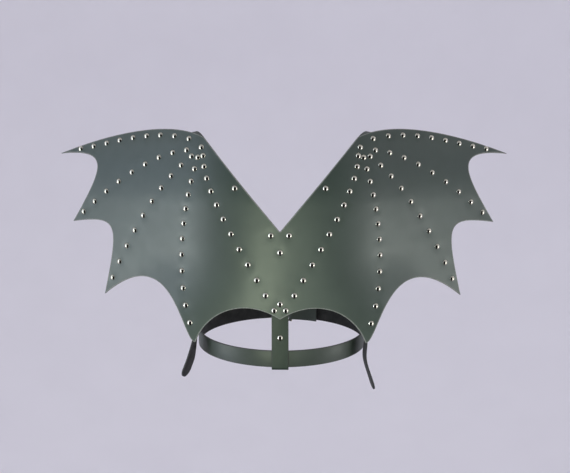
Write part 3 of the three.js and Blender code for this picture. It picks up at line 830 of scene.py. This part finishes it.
def make_holding_rivets():
    for name, x, z, holds in holding_places():
        piece = add_mesh(f"{name}_domed", *rivet_at(x, z, STACKS[holds]), [NICKEL])
        belongs(piece, "metal", name)
    points, faces = lathe(rivet_profile(STACKS["loop"], LOOP_RIVET_SUNK), RIVET_SEGMENTS)
    origin = np.array([0.0, SPINE_Y - LEATHER / 2, SPINE_RIVET_Z])
    points = stand(points, origin, np.array([0.0, -1.0, 0.0]))
    belongs(add_mesh("rivet_spine_loop_domed", points, faces, [NICKEL]), "metal", "rivet_spine_loop")


# Shoulder straps


def catmull(points, per_span):
    """A smooth run through points, from the second one on."""
    p = np.asarray(points, float)
    p = np.concatenate([[2 * p[0] - p[1]], p, [2 * p[-1] - p[-2]]])
    t = np.linspace(0, 1, per_span, endpoint=False)[:, None]
    run = []
    for a, b, c, d in zip(p[1:-3], p[2:-2], p[3:-1], p[4:]):
        run.append(b + 0.5 * t * (c - a + t * (2 * a - 5 * b + 4 * c - d + t * (3 * (b - c) + d - a))))
    return np.concatenate([*run, p[-2:-1]])


NECK_FOOT, NECK_TIP = np.array(V_POINT), np.array(OUTLINE["neckline"]["to"])


def neck_corners(run, side, depth):
    """Points along one edge of the strap under the panel, square to the panel."""
    way = unit(NECK_TIP - NECK_FOOT)
    aside = np.array([way[1], -way[0]])
    offset = STRAP_INSET + STRAP_WIDTH / 2 + side * STRAP_WIDTH / 2
    return under_sheet(NECK_FOOT + run[:, None] * way + offset * aside, depth)


def open_corners(stations, leaves, side, lift):
    """One corner of the strap at each station in the open."""
    centres = np.array([row["at"] for row in stations], float)
    before = np.concatenate([[leaves], centres[:-1]])
    after = np.concatenate([centres[1:], centres[-1:]])
    way = unit(after - before)
    across = unit(np.cross(way, np.array([row["face"] for row in stations], float)))
    out = np.cross(across, way)
    return centres + across * side * STRAP_WIDTH / 2 + out * lift * LEATHER / 2


def strap_rails(side_name):
    """The four corner lines of a right-hand strap: outer and inner corners of both edges."""
    length = np.linalg.norm(NECK_TIP - NECK_FOOT)
    near, far = LEATHER + CLEAR, 2 * LEATHER + CLEAR
    stud = {"at": STUD["at"], "face": (1, 0, 0)}
    stations = [*STRAP_ROUTE.values(), stud, *STRAP_TAILS[side_name]]
    hidden = np.linspace(0, length, STRAP_STEPS["leaving"])[-2:]
    leaves = np.mean([neck_corners(hidden[1:], s, d)[0] for s in (-1, 1) for d in (near, far)], axis=0)
    rails = []
    for side, depth, lift in ((-1, near, 1), (1, near, 1), (1, far, -1), (-1, far, -1)):
        run = np.linspace(STRAP_END_SKEW if side > 0 else 0, length, STRAP_STEPS["neckline"])
        under = neck_corners(run, side, depth)
        keys = [neck_corners(hidden, side, depth), open_corners(stations, leaves, side, lift)]
        rails.append(np.concatenate([under[:-1], catmull(np.concatenate(keys), STRAP_STEPS["span"])]))
    return rails


def make_strap(side_name):
    rails = strap_rails(side_name)
    centres = np.mean(rails, axis=0)
    across = unit(rails[1] + rails[2] - rails[0] - rails[3])
    out = unit(rails[0] + rails[1] - rails[2] - rails[3])
    way = unit(centres[-1] - centres[-2])
    turns = np.radians(np.linspace(*STRAP_TIP["turns"], STRAP_TIP["steps"]))
    tip = centres[-1] + way * (np.sin(turns) * STRAP_WIDTH / 2)[:, None]
    across, out = (np.pad(rows, ((0, len(tip)), (0, 0)), mode="edge") for rows in (across, out))
    widths = STRAP_WIDTH * np.concatenate([np.ones(len(centres)), np.cos(turns)])
    points, faces, tags = band(np.concatenate([centres, tip]), across, out, widths)
    cutters = [hole_through(stud_line(), STUD["hole"])]
    for back in TAIL_HOLES["back"]:
        cutters.append(hole_through(tail_line(side_name, back), TAIL_HOLES["radius"]))
    strap = add_mesh(f"shoulder_strap_{side_name}_leather", points, faces, STRAP_FINISH, tags)
    boolean(strap, cutters, "DIFFERENCE")
    if SIDES[side_name] < 0:
        mirror(strap)
    return belongs(strap, "strap_leather", f"shoulder_strap_{side_name}")


def stud_line():
    centre = np.array(STUD["at"])
    return centre - (LEATHER * 2, 0, 0), centre + (LEATHER * 2, 0, 0)


def tail_line(side_name, back):
    """The line through a hole in the free end, measured back from its last station."""
    tail = STRAP_TAILS[side_name]
    run = catmull([STUD["at"], STUD["at"], *[row["at"] for row in tail]], TAIL_HOLES["steps"])
    centre = along(run, [length_of(run) - back])[0]
    nearest = min(tail, key=lambda row: np.linalg.norm(np.array(row["at"]) - centre))
    out = unit(nearest["face"]) * LEATHER * 2
    return centre - out, centre + out


def hole_through(line, radius):
    """A round cutter along a line."""
    start, end = (np.asarray(p, float) for p in line)
    length = np.linalg.norm(end - start)
    points, faces = lathe([(0, 0), (radius, 0), (radius, length), (0, length)], HOLE_SEGMENTS)
    points = stand(points, start, unit(end - start))
    return add_mesh("hole", points, faces, [STRAP_FINISH[1]])


# Clasps


def rounded_box(wide, tall, corner):
    half_w, half_t = wide / 2 - corner, tall / 2 - corner
    centres = [(half_w, half_t), (-half_w, half_t), (-half_w, -half_t), (half_w, -half_t)]
    turns = [arc(c, corner, 90 * k, 90 * k + 90, CORNER_POINTS) for k, c in enumerate(centres)]
    return np.concatenate(turns)


def make_clasp(side_name):
    x, z = next(row["at"] for row in HOLDING if row["holds"] == "clasp")
    stud_x, stud_y, stud_z = STUD["at"]

    def on_foot(points, depth):
        local = np.column_stack([points, np.full(len(points), -LEATHER - CLASP["seat"] - depth)])
        return stand(local, *seat(x, z))

    def on_plate(points, depth):
        outer = stud_x - LEATHER / 2 - CLEAR
        return np.column_stack([np.full(len(points), outer - depth), points])

    heel = float(sheet_y(np.array(stud_x), np.array(z))) + LEATHER + CLASP["plate"]
    tip = arc((stud_y, stud_z), CLASP_TIP["radius"], *CLASP_TIP["arc"], CLASP_TIP["steps"])
    side = np.concatenate([[(heel, z + CLASP["heel_tall"] / 2), (heel, z - CLASP["heel_tall"] / 2)], tip])

    def sheet_metal(name, shape, lay):
        points, faces, _ = slab(shape, CLASP["plate"], CLASP_EDGE["round"], lay, np.empty((0, 2)))
        return add_mesh(name, points, faces, [NICKEL])

    foot_shape = rounded_box(CLASP["foot_wide"], CLASP["foot_tall"], CLASP_EDGE["corner"])
    foot = sheet_metal("foot", foot_shape, on_foot)
    plate = sheet_metal(f"side_clasp_{side_name}_plate", side, on_plate)
    root, neck = -LEATHER / 2 - CLEAR - CLASP["plate"] / 2, LEATHER / 2 + CLEAR
    head = [(r, neck + h) for r, h in dome(STUD["head"], STUD["roll"], STUD["slope"])]
    profile = [(0, root), (STUD["post"], root), (STUD["post"], neck), *head]
    points, faces = lathe(profile, RIVET_SEGMENTS)
    points = stand(points, np.array(STUD["at"]), np.array([1.0, 0.0, 0.0]))
    stud = add_mesh("stud", points, faces, [NICKEL])
    boolean(plate, [foot, stud], "UNION")
    if SIDES[side_name] < 0:
        mirror(plate)
    belongs(plate, "metal", f"side_clasp_{side_name}")


# Strips folded in one plane


def strip(line, widths, lay):
    """A strap along a flat line of points; lay turns (u, v, across) points into the part's frame."""
    way = unit(np.gradient(line, axis=0))
    normal = np.stack([-way[:, 1], way[:, 0]], axis=1)
    nothing = np.zeros(len(line))
    origin = lay(np.zeros((1, 3)))
    centres = lay(np.column_stack([line, nothing]))
    out = lay(np.column_stack([normal, nothing])) - origin
    across = lay(np.array([[0.0, 0.0, 1.0]])) - origin
    return band(centres, np.repeat(unit(across), len(line), axis=0), unit(out), widths)


def make_spine_strap():
    loop_z = BELT["back_z"] - STRAP_WIDTH / 2 + LOOP["rise"]
    turn = arc((-LOOP_RADIUS, loop_z), LOOP_RADIUS, 0, -180, SPINE_STEPS["turn"])
    back_up = [
        (-2 * LOOP_RADIUS, BELT["back_z"] + STRAP_WIDTH / 2 + SPINE_RETURN["above_belt"]),
        (-LOOP_RADIUS, SPINE_RETURN["join_z"]),
        (-LOOP_RADIUS, SPINE_RETURN["end_z"]),
    ]
    straight = np.linspace((0, SPINE_TOP_Z), turn[0], SPINE_STEPS["straight"])
    lead = np.linspace(turn[-1], back_up[0], SPINE_STEPS["fold"])
    fold = catmull([turn[-1], *back_up], SPINE_STEPS["fold"])
    line = np.concatenate([straight[:-1], turn, lead[1:-1], fold])

    def lay(p):
        return np.column_stack([p[:, 2], SPINE_Y - p[:, 0], p[:, 1]])

    points, faces, tags = strip(line, np.full(len(line), STRAP_WIDTH), lay)
    # The spine strap takes the darker leather that carries painted shade.
    piece = add_mesh("spine_strap_leather", points, faces, SPINE_FINISH_PAINTED_SHADE, tags)
    return belongs(piece, "strap_leather", "spine_strap")


# Belt and buckle


BELT_CENTRE_Y = BELT_BACK_Y + BELT["half_depth"]
BAR_DEPTH = -(LEATHER / 2 + BUCKLE["bar"] + CLEAR)
TAIL_LIFT = LEATHER + CLEAR


def belt_plan(angle, height):
    """Points of the belt's plan: angle from +X, and height above the middle of the leather."""
    wide, deep = BELT["half_width"] - LEATHER / 2, BELT["half_depth"] - LEATHER / 2
    place = np.stack([wide * np.cos(angle), deep * np.sin(angle)], axis=-1)
    out = unit(place / (wide**2, deep**2))
    return place + out * np.expand_dims(np.asarray(height, float), -1) + (0, BELT_CENTRE_Y)


def belt_angle(x):
    return math.acos(x / (BELT["half_width"] - LEATHER / 2))


def tail_height(x):
    """The free end climbs over the fold between the two bars of the buckle."""
    start, end = BELT_TAIL["climb_from_x"], BELT_TAIL["climb_to_x"]
    return TAIL_LIFT * smooth((x - start) / (end - start))


def raised(points):
    """Belt and buckle are made level, then raised towards the front."""
    rise = math.tan(BELT["tilt"])
    lift = BELT["back_z"] + (points[:, 1] - BELT_BACK_Y) * rise
    return np.column_stack([points[:, :2], points[:, 2] + lift])


def belt_line():
    bar = belt_angle(BUCKLE["heel_x"])
    fold_end = belt_angle(BUCKLE["heel_x"] + BELT_FOLD)
    tail_end = belt_angle(BUCKLE["heel_x"] + BELT_TAIL["length"]) - 2 * math.pi
    fold = belt_plan(np.linspace(fold_end, bar, BELT_STEPS["fold"], endpoint=False), 2 * BAR_DEPTH)
    centre, outer = belt_plan(np.array([bar, bar]), np.array([BAR_DEPTH, 0.0]))
    out = math.degrees(math.atan2(*(outer - centre)[::-1]))
    turn = arc(centre, -BAR_DEPTH, out + 180, out, BELT_STEPS["turn"])
    angle = np.linspace(bar, tail_end, BELT_STEPS["round"])[1:]
    climbs = tail_height(BELT["half_width"] * np.cos(angle)) * (angle < -math.pi)
    return np.concatenate([fold, turn, belt_plan(angle, climbs)])


def belt_front(x, height, z):
    return np.append(belt_plan(np.array(belt_angle(x)), height), z)


FAR_HEIGHT = tail_height(BUCKLE["far_x"]) + LEATHER / 2 + CLEAR + BUCKLE["frame"]


def prong_line():
    top = TAIL_LIFT + LEATHER / 2 + CLEAR + BUCKLE["prong"]
    keys = [
        belt_front(BUCKLE["heel_x"], BAR_DEPTH, 0),
        belt_front(PRONG_X[0], BAR_DEPTH, 0),
        belt_front(PRONG_X[1], top, 0),
        belt_front(BUCKLE["far_x"], FAR_HEIGHT, 0),
    ]
    return along(keys, np.linspace(0, length_of(keys), ROD["prong_steps"]))


def make_belt():
    line = belt_line()
    run = np.concatenate([[0], np.cumsum(np.linalg.norm(np.diff(line, axis=0), axis=1))])
    to_end = run[-1] - run
    narrow = np.clip(to_end / BELT_TAIL["point"], 0, 1)
    widths = 2 * BELT_TAIL["blunt"] + (STRAP_WIDTH - 2 * BELT_TAIL["blunt"]) * narrow
    points, faces, tags = strip(line, widths, np.asarray)
    cutters = []
    for past in BELT_HOLES:
        x = BUCKLE["heel_x"] + past
        line_through = belt_front(x, TAIL_LIFT / 2, 0), belt_front(x, TAIL_LIFT + LEATHER, 0)
        cutters.append(hole_through(line_through, TAIL_HOLES["radius"]))
    cutters.append(add_mesh("slot", *tube(prong_line(), BUCKLE["prong"] + CLEAR), [STRAP_FINISH[1]]))
    belt = add_mesh("waist_belt_leather", points, faces, STRAP_FINISH, tags)
    boolean(belt, cutters, "DIFFERENCE")
    tilt(belt)
    return belongs(belt, "strap_leather", "waist_belt")


def tilt(piece):
    """Raises a level mesh as the belt lies."""
    moved(piece.data, lambda places: raised(places / MM) * MM)


def make_buckle():
    def heel_end(sign):
        return belt_front(BUCKLE["heel_x"], BAR_DEPTH, sign * BUCKLE["reach"])

    def far_end(sign):
        return belt_front(BUCKLE["far_x"], FAR_HEIGHT, sign * BUCKLE["reach"])

    def rod(name, start, end, radius):
        return add_mesh(name, *tube(np.linspace(start, end, ROD["steps"]), radius), [NICKEL])

    parts = [rod("rod", heel_end(-1), heel_end(1), BUCKLE["bar"])]
    parts += [rod("rod", far_end(sign), heel_end(sign), BUCKLE["frame"]) for sign in SIDES.values()]
    parts.append(add_mesh("rod", *tube(prong_line(), BUCKLE["prong"]), [NICKEL]))
    buckle = rod("belt_buckle_frame", far_end(-1), far_end(1), BUCKLE["frame"])
    boolean(buckle, parts, "UNION")
    tilt(buckle)
    belongs(buckle, "metal", "belt_buckle")


# Stage, lights and camera


def bowl_profile():
    """The floor and the wall it turns up into, as (radius, height)."""
    centre = (STAGE["radius"] - STAGE["turn"], STAGE["floor_z"] + STAGE["turn"])
    turn = arc(centre, STAGE["turn"], -90, 0, STAGE_STEPS["turn"])
    return np.concatenate([turn, [(STAGE["radius"], STAGE["floor_z"] + STAGE["height"])]])


def swept(profile, angles):
    """Points and faces of a profile carried round the Z axis through the angles, looking inwards."""
    count = len(angles)
    points = np.concatenate(turned(profile, angles))
    faces = []
    for first in range(0, len(points) - count, count):
        faces += quads(first, first + count, count)[:-1]
    return points, faces


def make_stage():
    profile = np.concatenate([[(1.0, STAGE["floor_z"])], bowl_profile()])
    points, faces = swept(profile, np.linspace(0, 2 * math.pi, STAGE_STEPS["round"]))
    material, tree, shader = node_tree("pale_floor", {"Roughness": 0.9})
    toned(tree, shader, noise(tree, 3.0, 2.0), *FLOOR_TONES)
    add_mesh("pale_floor", points, faces, [material])


def studio_cloth(name, bodies, dark, light):
    """Cloth that only shows in polished and satin surfaces, as the walls of a studio do."""
    material, tree, shader = node_tree(name, {"Roughness": 0.95, "Specular IOR Level": 0.0})
    toned(tree, shader, noise(tree, 40.0, 3.0), dark, light)
    cloth = add_mesh(name, *joined(bodies), [material])
    cloth.visible_camera = False
    cloth.visible_diffuse = False
    cloth.visible_shadow = False


def make_cloths():
    """A black flag on the camera's side, from the floor up, and a pale roof."""
    low = STAGE["floor_z"] + FLAG["above_floor"]
    half = math.radians(FLAG["half_angle"])
    wedge = np.linspace(-math.pi / 2 - half, -math.pi / 2 + half, STAGE_STEPS["wedge"])
    around = np.linspace(0, 2 * math.pi, STAGE_STEPS["roof"])
    profile = bowl_profile() + (-FLAG["above_floor"], FLAG["above_floor"])
    floor = swept([(1.0, low), (FLAG["cloth"], low)], around)
    edge = (FLAG["top"], profile[-1][1])
    front = swept([(FLAG["cloth"], low), *profile, edge], wedge)
    roof = swept([edge, (1.0, edge[1])], around)
    studio_cloth("black_flag", [floor, front], (0.010, 0.010, 0.011), (0.018, 0.018, 0.019))
    studio_cloth("pale_roof", [roof], (0.62, 0.62, 0.60), (0.66, 0.66, 0.64))


def add_light(name, azimuth, elevation, away, size, glow, colour):
    """A softbox of an even brightness over its face."""
    lamp = bpy.data.lights.new(f"{name}_softbox", "AREA")
    lamp.shape = "RECTANGLE"
    lamp.size, lamp.size_y = size
    lamp.energy = glow * math.pi * size[0] * size[1]
    lamp.color = colour
    light = bpy.data.objects.new(lamp.name, lamp)
    light.location = Vector(MIDDLE) + direction(azimuth, elevation) * away
    light.rotation_mode = "QUATERNION"
    light.rotation_quaternion = (Vector(MIDDLE) - light.location).to_track_quat("-Z", "Y")
    light.visible_camera = False
    bpy.context.scene.collection.objects.link(light)
    return light


def make_lights(leather_pieces):
    """The softboxes and an even light from all round; the strips fall on the leather pieces only."""
    leather_only = bpy.data.collections.new("lit_by_strips")
    for piece in leather_pieces:
        leather_only.objects.link(piece)
    for row in SOFTBOXES:
        light = add_light(*row)
        if light.name.startswith("strip"):
            light.light_linking.receiver_collection = leather_only
    world = bpy.data.worlds.new("studio")
    world.use_nodes = True
    set_inputs(world.node_tree.nodes["Background"], WORLD)
    bpy.context.scene.world = world
    bpy.context.scene.view_settings.view_transform = "Standard"


def direction(azimuth, elevation):
    """The way from the wings to a place round them: azimuth 0 is behind the wearer, +X is positive."""
    a, e = math.radians(azimuth), math.radians(elevation)
    return Vector((math.sin(a) * math.cos(e), -math.cos(a) * math.cos(e), math.sin(e)))


def make_camera():
    back = direction(CAMERA["azimuth"], CAMERA["elevation"])
    lens = bpy.data.cameras.new("photo_camera")
    lens.lens = LENS["lens"]
    lens.clip_start = LENS["clip_start"]
    camera = bpy.data.objects.new("photo_camera", lens)
    camera.location = (Vector(CAMERA["target"]) + back * CAMERA["distance"]) * MM
    camera.rotation_mode = "QUATERNION"
    camera.rotation_quaternion = (-back).to_track_quat("-Z", "Y")
    bpy.context.scene.collection.objects.link(camera)
    bpy.context.scene.camera = camera


# Making


panel = make_panel()
make_trim_rivets()
make_holding_rivets()
straps = [make_strap(side) for side in SIDES]
for side in SIDES:
    make_clasp(side)
spine = make_spine_strap()
belt = make_belt()
make_buckle()
make_stage()
make_cloths()
make_lights([panel, spine, belt])
make_camera()
